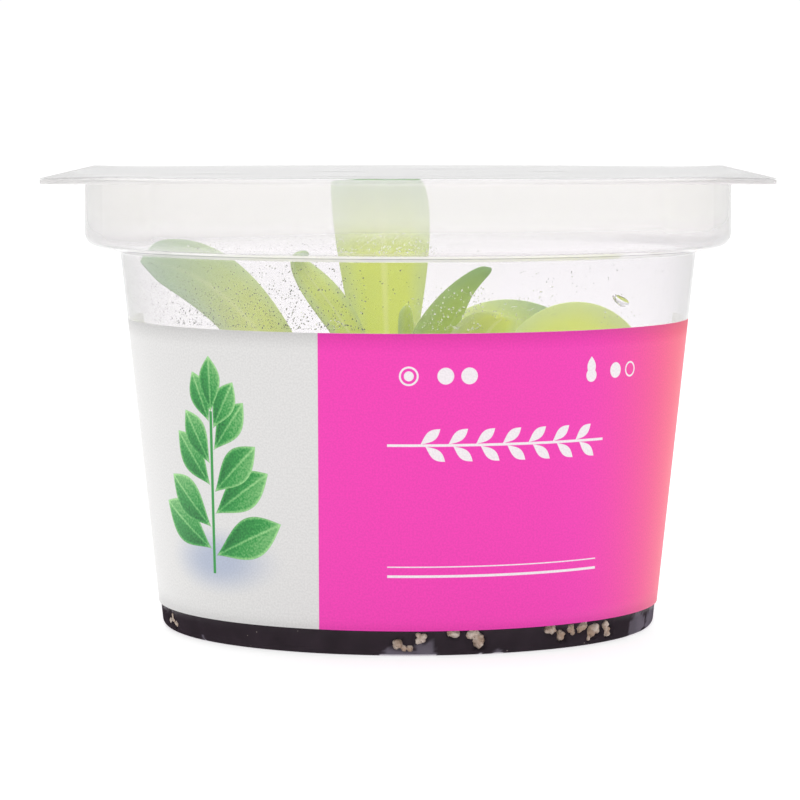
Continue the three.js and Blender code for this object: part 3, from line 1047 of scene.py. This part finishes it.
@dataclass
class Grains:
    """The mineral grains, in clusters against the wall and on the gel's face."""

    cup: Cup
    top: float = 15.0
    clearance: float = 0.03
    sunk: float = 0.35
    lumps: tuple[float, float] = (0.26, 0.1)
    mean: float = 0.89

    def seat(self, z: float, radius: float) -> float:
        """Finds where a grain touches the wall or the round heel.

        Args:
            z: The height of its middle.
            radius: Its radius.

        Returns:
            How far from the axis its middle lies.
        """
        cup = self.cup
        room = cup.heel_round - radius - self.clearance
        lift = cup.base_wall + cup.heel_round - z
        if lift <= 0 or room <= lift:
            return cup.inner_radius(z) - self.clearance - radius - max(0.0, lift) * self.sunk
        return cup.wall_radius(0) - cup.wall - cup.heel_round + math.sqrt(room**2 - lift**2)

    def against_wall(self, places: Sequence[tuple[float, float, float]]) -> list[Spot]:
        """Sets grains against the wall.

        Args:
            places: For each grain, its degrees from the front, height and radius.

        Returns:
            The grains' spots.
        """
        spots = []
        for degrees, z, radius in places:
            angle = math.radians(degrees)
            reach = self.seat(z, radius)
            spots.append(Spot(reach * math.sin(angle), -reach * math.cos(angle), z, radius))
        return spots

    def on_top(self, places: Sequence[tuple[float, float, float]]) -> list[Spot]:
        """Sinks grains in the gel's face, each given by its place from the axis and its radius."""
        return [Spot(x, y, self.top + radius * self.sunk, radius) for x, y, radius in places]

    def clusters(self) -> dict[str, list[Spot]]:
        """Lays out the clusters.

        Returns:
            Each cluster's spots, by the CAD node that it stands for.
        """
        wall, face = self.against_wall, self.on_top
        return {
            "grains_front": wall([(-2.3, 1.7, 0.8), (-0.9, 1.15, 0.45), (0.5, 1.15, 0.5), (2.3, 2.1, 0.5),
                                  (3.0, 2.35, 0.65), (3.6, 2.7, 0.45), (2.2, 2.9, 0.4)]),
            "grains_front_right": wall([(9.4, 3.1, 0.6), (10.4, 3.0, 0.75), (12.2, 4.2, 0.9),
                                        (13.9, 2.75, 0.65), (14.9, 3.2, 0.75), (16.0, 1.75, 0.95),
                                        (15.8, 2.4, 0.8)]),
            "grains_right": wall([(33.3, 2.9, 0.75), (34.4, 2.8, 0.7), (37.0, 1.9, 0.9), (39.6, 2.75, 0.7),
                                  (40.1, 2.2, 0.5), (42.5, 2.5, 0.7), (43.7, 2.9, 0.8), (45.2, 4.2, 0.9),
                                  (46.6, 1.9, 0.95), (48.0, 2.2, 0.9), (45.2, 1.1, 0.4), (51.4, 2.5, 0.75),
                                  (52.2, 1.6, 0.85)]),
            "grains_left": wall([(-72.8, 1.6, 0.6), (-70.6, 2.4, 0.6), (-70.2, 1.9, 0.6),
                                 (-67.9, 1.5, 0.65)]),
            "grains_back_left": wall([(-168, 9.2, 1.5), (-165.9, 8.4, 1.4), (-164, 9.6, 1.4),
                                      (-165.6, 10.6, 1.3)]),
            "grains_back_right": wall([(163, 5.4, 1.3), (166.5, 6.6, 1.45), (170, 5.6, 1.3)]),
            "grains_top_front": face([(-12, -21, 1.8), (-10.4, -21.6, 1.5), (-13, -19.8, 1.4),
                                      (-11, -19.9, 1.4)]),
            "grains_top_right": face([(21, -10, 1.7), (21.9, -8.6, 1.5), (20.5, -8.4, 1.3)]),
            "grains_top_back": face([(8, 24, 1.6), (10, 24.6, 1.5), (6.2, 24.6, 1.4)]),
            "grains_top_left": face([(-22, 9, 1.5), (-23.4, 10.6, 1.5), (-21.8, 11, 1.3)]),
        }

    def build(self) -> None:
        """Roughens a ball for each grain and casts each cluster."""
        material = PumiceGrain().material()
        for name, spots in self.clusters().items():
            bm = bmesh.new()
            for number, spot in enumerate(spots):
                centre = Vector((spot.x, spot.y, spot.z))
                made = bmesh.ops.create_icosphere(bm, subdivisions=4, radius=1)["verts"]
                for vert in made:
                    seed = vert.co * 1.7 + Vector((number * 3.1, spot.x, spot.z))
                    knobs = noise.noise(seed) * self.lumps[0] + noise.noise(seed * 3.4) * self.lumps[1]
                    vert.co = centre + vert.co * spot.radius * (self.mean + knobs)
            cast(name + "_rough", bm, [material], [name], recalculate=False)


@dataclass
class Gel:
    """The black gel with its raised rim against the wall and the pale patches where it has come away."""

    cup: Cup
    grains: Grains
    clearance: float = 0.02
    meniscus: float = 0.7
    brim_curve: tuple[tuple[float, float], ...] = ((0.35, 0.34), (0.9, 0.12), (2, 0.03), (4, 0))
    rings: tuple[float, ...] = (0.75, 0.6, 0.45, 0.3, 0.15, 0)
    swell: float = 0.45
    swell_size: float = 7.0
    still: float = 5.0
    steps: int = 480
    rows: int = 40
    patches: tuple[tuple[float, float, float, float], ...] = (
        (-1.8, 0.2, 4.0, 1.2), (3.8, 0.2, 2.7, 1.9), (20.4, 0.2, 1.1, 0.7), (16.4, 0.2, 0.7, 0.25),
        (66.0, 1.5, 4.6, 1.8), (80.0, 1.2, 8.0, 2.4), (-53.8, 0.6, 0.5, 0.5), (165.0, 3.4, 5.0, 1.2),
        (-120.0, 5.0, 3.0, 1.1), (120.0, 1.0, 5.0, 1.3),
    )

    def dents(self) -> list[Spot]:
        """Picks the grains that press into the gel at the wall.

        Returns:
            Their spots.
        """
        wall = self.cup.inner_radius(3)
        spots = [spot for cluster in self.grains.clusters().values() for spot in cluster]
        return [spot for spot in spots if math.hypot(spot.x, spot.y) + spot.radius > wall - 1.5]

    def build(self) -> None:
        """Spins the gel, gives its face low swells, and presses the grains' pockets into its side."""
        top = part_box("gel")[1].z / MM - self.meniscus
        skin = self.cup.wall + self.clearance
        bottom = self.cup.base_wall + self.clearance
        heel = self.cup.heel_round
        foot = self.cup.wall_radius(0) - skin
        start = bottom + heel + 0.05
        corners = [(0, bottom), (foot, bottom)]
        for row in range(self.rows + 1):
            z = start + (top + self.meniscus - start) * row / self.rows
            corners.append((self.cup.wall_radius(z) - skin, z))
        brim = corners[-1][0]
        corners += [(brim - inwards, top + rise) for inwards, rise in self.brim_curve]
        corners += [(brim * share, top) for share in self.rings]
        bm = turned(corners, {1: heel}, self.steps, 10)
        patch = bm.verts.layers.float.new("patch")
        dents = self.dents()
        for vert in bm.verts:
            radius = vert.co.xy.length
            at_wall = radius > self.cup.wall_radius(vert.co.z) - skin - heel
            if at_wall and vert.co.z < top + self.meniscus - 0.01:
                degrees = math.degrees(math.atan2(vert.co.x, -vert.co.y))
                vert[patch] = max(self.patch_share(degrees, vert.co.z, *spot) for spot in self.patches)
                depth = max((self.dent_depth(vert.co, spot) for spot in dents), default=0.0)
                vert.co.xy *= 1 - depth / radius
            if vert.co.z > top - 0.05 and self.still < radius < brim - 1:
                place = Vector((vert.co.x / self.swell_size, vert.co.y / self.swell_size, 3.0))
                vert.co.z += self.swell * noise.noise(place) * min(1, (radius - self.still) / 4)
        cast("gel_plug", bm, [BlackAgar().material()], ["gel"])

    def patch_share(self, degrees: float, z: float, at: float, height: float, wide: float,
                    tall: float) -> float:
        """Tells how far a point of the gel's side lies in a pale patch, which has a ragged edge.

        Args:
            degrees: The point's degrees from the front.
            z: Its height.
            at: The degrees of the patch's middle.
            height: The height of the patch's middle.
            wide: Half its width in degrees.
            tall: Half its height.

        Returns:
            The share, from 0 outside to 1 inside.
        """
        ragged = 0.35 * noise.noise(Vector((degrees * 0.9, z * 2.2, 7.0)))
        reach = math.hypot((degrees - at) / wide, (z - height) / tall) + ragged
        return max(0.0, min(1.0, (1.08 - reach) / 0.16))

    def dent_depth(self, point: Vector, spot: Spot) -> float:
        """Tells how deep a grain pushes the gel in.

        Args:
            point: The point on the gel's side.
            spot: The grain.

        Returns:
            The depth.
        """
        out = Vector((spot.x, spot.y, 0)).normalized()
        offset = point - Vector((spot.x, spot.y, spot.z))
        if offset.dot(out) < 0:
            return 0.0
        beside = (offset - out * offset.dot(out)).length
        reach = spot.radius * 1.12
        return 0.0 if beside >= reach else 1.1 * spot.radius * math.sqrt(1 - (beside / reach) ** 2)


@dataclass(frozen=True)
class Leaf:
    """One blade, drawn along a curve from the crown.

    The path gives four control points of reach from the crown's axis and height. Heading is the way it
    points from +X towards +Y, sway how far its tip is swept sideways, roll how far the blade is turned
    about its own length at the tip and roll_base at the foot, cup how far its edges rise, tone how
    much darker its green is than the others', which is painted shade for a leaf that lies in shadow, and
    pale how far its colours run towards the tip's. The midrib is a groove on top and a keel below.
    """

    name: str
    heading: float
    path: tuple[tuple[float, float], ...]
    width: float
    sway: float = 0.0
    roll: float = 0.0
    roll_base: float = 0.0
    cup: float = 0.9
    crown: tuple[float, float] = (-1.5, 0.0)
    tone: float = 0.0
    pale: float = 1.0
    thickness: float = 1.25
    thinning: float = 0.28
    edge: float = 0.5
    base: float = 0.16
    widest: float = 0.66
    ripple: float = 0.28
    unevenness: float = 0.3
    groove: float = 0.16
    keel: float = 0.3
    rib_width: float = 0.11

    def outline(self, share: float) -> float:
        """Draws the blade's outline.

        Args:
            share: How far along the blade, from 0 to 1.

        Returns:
            The half-width there, as a share of its greatest.
        """
        if share < self.widest:
            return self.base + (1 - self.base) * math.sin(share / self.widest * math.pi / 2) ** 1.5
        return math.sqrt(max(0.0, 1 - ((share - self.widest) / (1 - self.widest)) ** 2.4))

    def axes(self) -> tuple[Vector, Vector]:
        """Finds the blade's level directions.

        Returns:
            The direction in which it points and the one across it.
        """
        turn = math.radians(self.heading)
        out = Vector((math.cos(turn), math.sin(turn), 0))
        return out, Vector((-out.y, out.x, 0))

    def spine(self, share: float) -> tuple[Vector, Vector]:
        """Follows the blade's midline.

        Args:
            share: How far along the blade, from 0 to 1.

        Returns:
            The point there and the midline's direction.
        """
        out, across = self.axes()
        swept = (0.0, 0.0, 0.45 * self.sway, self.sway)
        points = [Vector((*self.crown, z)) + out * reach + across * aside
                  for (reach, z), aside in zip(self.path, swept)]
        rest = 1 - share
        point = (points[0] * rest**3 + points[1] * 3 * rest**2 * share
                 + points[2] * 3 * rest * share**2 + points[3] * share**3)
        along = ((points[1] - points[0]) * rest**2 + (points[2] - points[1]) * 2 * rest * share
                 + (points[3] - points[2]) * share**2)
        return point, along.normalized()

    def point(self, share: float, angle: float, closing: float) -> tuple[Vector, float]:
        """A point on the blade's skin.

        Args:
            share: How far along the blade, from 0 to 1.
            angle: How far round its section, in radians, with 0 and pi at its two edges.
            closing: 1 along the blade, falling to 0 where an end closes.

        Returns:
            The point and its crosswise share, from -1 to 1.
        """
        middle, along = self.spine(share)
        _, across = self.axes()
        side = (across - along * across.dot(along)).normalized()
        side = Quaternion(along, math.radians(self.roll_base + (self.roll - self.roll_base) * share)) @ side
        up = along.cross(side).normalized()
        half = self.width / 2 * max(self.outline(share), 0.02) * closing
        v = math.cos(angle)
        face = math.copysign(abs(math.sin(angle)) ** 0.5, math.sin(angle))
        thick = self.thickness * (1 - self.thinning * share) * closing**0.5
        rise = self.cup * (2 * half / self.width) * v * v
        seed = self.heading * 0.37
        rise += self.ripple * v * v * math.sin(share * 11 + seed + v) * closing
        rise += self.unevenness * noise.noise(Vector((share * 3.1, v * 1.3, seed))) * closing
        skin = face * thick / 2 * (1 - (1 - self.edge) * v * v)
        rib = math.exp(-((v / self.rib_width) ** 2)) * (1 - share) * closing
        skin -= (self.groove if face > 0 else self.keel) * rib
        return middle + side * (v * half) + up * (rise + skin), v

    def grow(self, bm: bmesh.types.BMesh, around: int = 28, lengthwise: int = 46) -> None:
        """Shapes a ball into the blade, with its shares kept as attributes.

        Args:
            bm: The mesh to grow in.
            around: Points round the section.
            lengthwise: Rings along the blade.
        """
        shares = [bm.verts.layers.float.get(name) or bm.verts.layers.float.new(name)
                  for name in ("along", "across", "tone")]
        made = bmesh.ops.create_uvsphere(bm, u_segments=around, v_segments=lengthwise, radius=1)["verts"]
        for vert in made:
            ball = vert.co.copy()
            latitude = math.asin(max(-1.0, min(1.0, ball.z)))
            share = latitude / math.pi + 0.5
            share = 1 - (1 - share) ** 1.2
            closing = min(1.0, math.hypot(ball.x, ball.y) / 0.22)
            closing = math.sin(closing * math.pi / 2)
            angle = math.atan2(ball.y, ball.x) if closing > 1e-3 else 0.0
            place, across = self.point(share, angle, closing if share < 0.5 else max(closing, 1e-3))
            vert.co = place
            vert[shares[0]] = share * self.pale
            vert[shares[1]] = across
            vert[shares[2]] = self.tone


@dataclass
class Rosette:
    """The plant: large leaves, each a piece of its own, round a crown.

    The small leaves of its heart grow from the top of the crown and are one piece with it.
    """

    crown_radius: float = 3.9
    crown_height: float = 3.2
    crown_z: float = 17.6
    # Each leaf's tone is painted shade: a darker green for the leaves that lie in shadow.
    large: tuple[Leaf, ...] = (
        Leaf("leaf_left", 201.5, ((4.7, 16.9), (15.2, 24), (16.1, 45.8), (35.8, 48.9)), 15,
             roll_base=-52, roll=-41, pale=0.85),
        Leaf("leaf_tall", 102, ((4.3, 19.6), (8.6, 36.5), (7.7, 65.4), (19, 57)), 13.6, cup=0.5),
        Leaf("leaf_thin_left", 178.6, ((4.3, 19.8), (-2, 37.3), (19.6, 49.9), (11.6, 49.3)), 11.6,
             roll_base=-36, roll=-1, cup=0.55, tone=0.08, pale=0.8),
        Leaf("leaf_curved_right", -79, ((4.4, 19.4), (6.6, 30), (9.2, 43.5), (9.8, 47.8)), 10.6,
             sway=10.8, roll_base=24, roll=62, cup=1.1, tone=0.4, pale=0.8),
        Leaf("leaf_right", -4.5, ((4.7, 17.2), (13.3, 29), (20.8, 45.8), (32.3, 31)), 15.5,
             sway=-1.6, roll_base=24, roll=50, pale=0.6),
        Leaf("leaf_back_right", 41, ((4.7, 17.2), (7.4, 29.8), (12.3, 42.5), (34.6, 35.9)), 13.4,
             roll_base=5, roll=50, pale=0.8),
        Leaf("leaf_front_right", -42, ((4.7, 17.2), (12.1, 27), (13.1, 40.9), (18.6, 41.8)), 11.3,
             roll=-16, cup=0.3, pale=0.5),
        Leaf("leaf_front", 268, ((4.7, 16.9), (12, 22), (19, 34), (29, 26)), 13),
        Leaf("leaf_front_left", 235, ((4.8, 17), (11, 25), (19, 39), (29, 30)), 12.5),
        Leaf("leaf_back_left", 148, ((4.7, 17.2), (12, 25), (20, 39), (30, 31)), 14),
        Leaf("leaf_back", 100, ((4.7, 16.9), (14, 20), (20, 33), (30, 25)), 13),
    )
    heart: tuple[Leaf, ...] = (
        Leaf("heart_front", -56, ((1, 18), (4.4, 25.6), (3.6, 33.8), (2.5, 43)), 3.8, roll=10, cup=0.6,
             tone=0.25, pale=0.3),
        Leaf("heart_left", 112, ((1, 18), (1.8, 23), (1.3, 27), (0.8, 31)), 4),
        Leaf("heart_back", 30, ((1, 18), (5, 25), (7, 30), (8, 34)), 6),
        Leaf("heart_low", 250, ((1, 18), (5, 23), (6, 27), (7, 30)), 5),
        Leaf("heart_bud", 0, ((0, 18), (1, 22), (1, 26), (1.5, 29)), 4),
    )

    def build(self) -> None:
        """Grows every leaf, then the crown with its heart."""
        tissue = LeafTissue().material()
        for leaf in self.large:
            bm = bmesh.new()
            leaf.grow(bm)
            cast(leaf.name + "_blade", bm, [tissue], [leaf.name], subdivide=1)
        bm = bmesh.new()
        for leaf in self.heart:
            leaf.grow(bm, around=20, lengthwise=30)
        x, y = self.large[0].crown
        squat = Matrix.Translation((x, y, self.crown_z)) @ Matrix.Diagonal(
            (self.crown_radius, self.crown_radius, self.crown_height, 1))
        bmesh.ops.create_icosphere(bm, subdivisions=3, radius=1, matrix=squat)
        cast("crown_heart", bm, [tissue], ["crown"], subdivide=1, recalculate=False)


@dataclass(frozen=True)
class BeadField:
    """A patch of the wall's inside that is covered with beads.

    Degrees are counted from the front. Sinking draws the beads towards the patch's lower edge.
    """

    count: int
    degrees: tuple[float, float]
    heights: tuple[float, float]
    radii: tuple[float, float]
    sinking: float = 1.0


@dataclass
class Condensation:
    """Beads of water on the inside of the clear wall and rim: thickest on the left, sparse on the right.

    The fine beads show dark by painted shade, a grey tint in their water, and the larger ones show bright
    on the leaves behind them. The few largest are given by degrees from the front, height, radius and how
    wide they are drawn.
    """

    cup: Cup
    dark: tuple[BeadField, ...] = (
        BeadField(620, (-62, -14), (41.4, 49.4), (0.04, 0.1), 1.7),
        BeadField(330, (-52, -22), (41.4, 46.5), (0.045, 0.12), 1.3),
        BeadField(230, (-24, -8), (41.4, 49.4), (0.04, 0.12), 1.3),
        BeadField(46, (-12, 4), (44, 49), (0.04, 0.09)),
        BeadField(26, (20, 46), (45.5, 49.2), (0.04, 0.09)),
        BeadField(430, (-62, -8), (51.4, 58.5), (0.03, 0.065), 1.8),
        BeadField(120, (-8, 10), (51.4, 56), (0.03, 0.06), 1.8),
        BeadField(280, (188, 264), (41.4, 49.4), (0.04, 0.11), 1.3),
        BeadField(40, (96, 172), (41.4, 49.4), (0.04, 0.1), 1.3),
        BeadField(170, (188, 300), (51.4, 58), (0.04, 0.07), 1.6),
    )
    clear: tuple[BeadField, ...] = (
        BeadField(110, (5, 14.5), (41.4, 46.8), (0.06, 0.15), 1.2),
        BeadField(90, (12, 30), (42.5, 45.6), (0.05, 0.11)),
        BeadField(60, (-1, 6), (41.4, 45.5), (0.05, 0.1), 1.3),
        BeadField(45, (-21, -12), (41.4, 43.6), (0.06, 0.13), 1.2),
        BeadField(230, (-13, 4.4), (51.2, 54.6), (0.05, 0.12), 1.6),
        BeadField(60, (-52, -29), (51.2, 52.4), (0.05, 0.11), 1.2),
        BeadField(12, (40, 56), (41.6, 43.2), (0.07, 0.13)),
        BeadField(90, (188, 264), (41.4, 48), (0.05, 0.12), 1.6),
        BeadField(24, (96, 172), (41.4, 47), (0.05, 0.12), 1.4),
    )
    large: tuple[tuple[float, float, float, float], ...] = (
        (26.2, 46.0, 0.11, 2.2), (28.6, 46.6, 0.1, 2.4), (24.6, 46.2, 0.08, 1.0), (23.6, 45.2, 0.09, 0.8),
        (25.0, 48.3, 0.08, 1.0), (33.0, 47.8, 0.07, 2.2), (36.4, 46.2, 0.07, 1.2), (-9.0, 43.6, 0.14, 0.7),
        (-14.0, 57.1, 0.12, 1.2),
    )
    drop_place: tuple[float, float] = (46.6, 44.4)
    drop_size: tuple[float, float, float] = (0.66, 0.42, 2.4)
    drop_slant: float = 0.32
    drop_bend: float = 0.12

    def bead(self, bm: bmesh.types.BMesh, degrees: float, z: float, radius: float, squash: float = 0.5,
             stretch: float = 1.0) -> None:
        """Adds one bead that sits on the wall's inside.

        Args:
            bm: The mesh to add to.
            degrees: Degrees from the front.
            z: Its height.
            radius: Its radius.
            squash: How far it stands off the wall, as a share of its radius.
            stretch: How much wider than tall it is.
        """
        angle = math.radians(degrees)
        reach = self.cup.inner_radius(z) - radius * squash - 0.01
        middle = Vector((reach * math.sin(angle), -reach * math.cos(angle), z))
        shape = (Matrix.Translation(middle) @ Matrix.Rotation(angle, 4, "Z")
                 @ Matrix.Diagonal((radius * stretch, radius * squash, radius, 1)))
        detail = 1 if radius < 0.2 else 3
        bmesh.ops.create_icosphere(bm, subdivisions=detail, radius=1, matrix=shape)

    def scatter(self, name: str, fields: Sequence[BeadField], water: bpy.types.Material,
                draw: random.Random) -> None:
        """Strews each field's beads and casts them as one piece.

        Args:
            name: The piece's name.
            fields: The fields.
            water: The beads' material.
            draw: The source of random draws.
        """
        bm = bmesh.new()
        for area in fields:
            low, high = area.heights
            small, large = area.radii
            for _ in range(area.count):
                z = low + (high - low) * draw.random() ** area.sinking
                self.bead(bm, draw.uniform(*area.degrees), z, small + (large - small) * draw.random() ** 2.2)
        cast(name, bm, [water], recalculate=False)

    def build(self) -> None:
        """Strews the beads with a fixed seed and adds the few large ones."""
        draw = random.Random(SEED)
        # The fine beads' grey tint is painted shade, for the light that so small a bead bends away.
        water, fine = Water().material(), Water("water_beads_fine_painted_shade", "#8A8E86").material()
        self.scatter("beads_dark", self.dark, fine, draw)
        self.scatter("beads_clear", self.clear, water, draw)
        bm = bmesh.new()
        self.drop(bm)
        for degrees, z, size, stretch in self.large:
            self.bead(bm, degrees, z, size, 0.5, stretch)
        cast("beads_large", bm, [water], recalculate=False)

    def drop(self, bm: bmesh.types.BMesh) -> None:
        """Adds the one large drop, a flat lopsided one that hangs from its upper left.

        Args:
            bm: The mesh to add to.
        """
        before = set(bm.verts)
        self.bead(bm, *self.drop_place, *self.drop_size)
        new = [vert for vert in bm.verts if vert not in before]
        middle = sum((vert.co for vert in new), Vector()) / len(new)
        along = Vector((middle.y, -middle.x, 0)).normalized() * -1
        for vert in new:
            beside = (vert.co - middle).dot(along)
            vert.co.z -= self.drop_slant * beside - self.drop_bend * abs(beside)


@dataclass
class Studio:
    """A pale floor, soft light and the camera."""

    camera_height: float = 70.9
    camera_distance: float = 518.0
    pitch: float = 4.53
    yaw: float = 0.1175
    focal_pixels: float = 3900.0
    frame_pixels: float = 800.0
    sensor: float = 36.0
    lamp_place: tuple[float, float, float] = (-0.05, 0.16, 0.62)
    lamp_target: tuple[float, float, float] = (0, 0, 0.03)
    lamp_size: float = 0.6
    lamp_energy: float = 4.5
    floor_colours: tuple[str, str] = ("#8C8C8C", "#8E8E8E")
    floor_glow: float = 0.78
    floor_reach: float = 6.0
    seen_sky: float = 1.03
    bounces: int = 32

    def floor(self) -> None:
        """Lays a matt white sweep under the part."""
        paint = Paint("studio_floor_matt")
        colour = paint.blend(paint.cloud(1 / 40), *self.floor_colours)
        made = paint.finish(paint.shader("Principled", {
            "Base Color": colour, "Roughness": 0.9, "Specular IOR Level": 0.1,
            "Emission Color": linear("#FFFFFF"), "Emission Strength": self.floor_glow}))
        bm = bmesh.new()
        bmesh.ops.create_grid(bm, x_segments=8, y_segments=8, size=self.floor_reach)
        mesh = bpy.data.meshes.new("studio_floor")
        bm.to_mesh(mesh)
        bm.free()
        mesh.materials.append(made)
        floor = bpy.data.objects.new("studio_floor", mesh)
        bpy.context.scene.collection.objects.link(floor)

    def sky(self) -> None:
        """Surrounds the part with even white light, a little stronger from above."""
        world = bpy.data.worlds.new("studio_sky")
        bpy.context.scene.world = world
        world.use_nodes = True
        world.node_tree.nodes.clear()
        nodes = Nodes(world.node_tree)
        aim = nodes.split(nodes.add("TexCoord").outputs["Generated"])
        level = nodes.plus(nodes.ramp(aim[2], -0.1, 0.9, 0.6, 1.0), nodes.ramp(aim[1], 0.5, 0.95, 0, 1.9))
        mirrored = nodes.ramp(aim[2], 0.0, 0.6, 0.86, 1.1)
        ray = nodes.add("LightPath").outputs
        strength = nodes.add("Mix", {0: ray["Is Glossy Ray"], 2: level, 3: mirrored}).outputs[0]
        strength = nodes.add("Mix", {0: ray["Is Camera Ray"], 2: strength, 3: self.seen_sky}).outputs[0]
        light = nodes.add("Background", {"Color": linear("#FFFFFF"), "Strength": strength}).outputs[0]
        nodes.add("OutputWorld", {"Surface": light})

    def lamp(self) -> None:
        """Hangs a soft square lamp that looks at the middle of the part and doesn't glare in the film."""
        data = bpy.data.lights.new("top_lamp", "AREA")
        data.size, data.energy = self.lamp_size, self.lamp_energy
        lamp = bpy.data.objects.new("top_lamp", data)
        lamp.location = self.lamp_place
        aim = Vector(self.lamp_target) - Vector(self.lamp_place)
        lamp.rotation_euler = aim.to_track_quat("-Z", "Y").to_euler()
        lamp.visible_glossy = False
        bpy.context.scene.collection.objects.link(lamp)

    def camera(self) -> None:
        """Sets the camera a little above the lid, looking slightly down."""
        data = bpy.data.cameras.new("studio_camera")
        data.sensor_width = self.sensor
        data.lens = self.sensor * self.focal_pixels / self.frame_pixels
        data.clip_start, data.clip_end = 0.01, 50
        camera = bpy.data.objects.new("studio_camera", data)
        camera.location = (0, -self.camera_distance * MM, self.camera_height * MM)
        camera.rotation_euler = (math.radians(90 - self.pitch), 0, math.radians(self.yaw))
        bpy.context.scene.collection.objects.link(camera)
        bpy.context.scene.camera = camera

    def build(self) -> None:
        """Builds the studio and sets how light is traced and shown."""
        self.floor()
        self.sky()
        self.lamp()
        self.camera()
        scene = bpy.context.scene
        scene.cycles.transparent_max_bounces = self.bounces
        scene.view_settings.view_transform = "Standard"


def main() -> None:
    """Builds the studio and every sub-assembly in order."""
    logging.basicConfig(level=logging.INFO, format="%(name)s %(message)s")
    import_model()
    Studio().build()
    cup = Cup()
    builders: list[Callable[[], None]] = [
        cup.build, LidFilm(cup).build, Label(cup).build, Gel(cup, Grains(cup)).build, Grains(cup).build,
        Rosette().build, Condensation(cup).build,
    ]
    for build in builders:
        build()


if __name__ == "__main__":
    main()
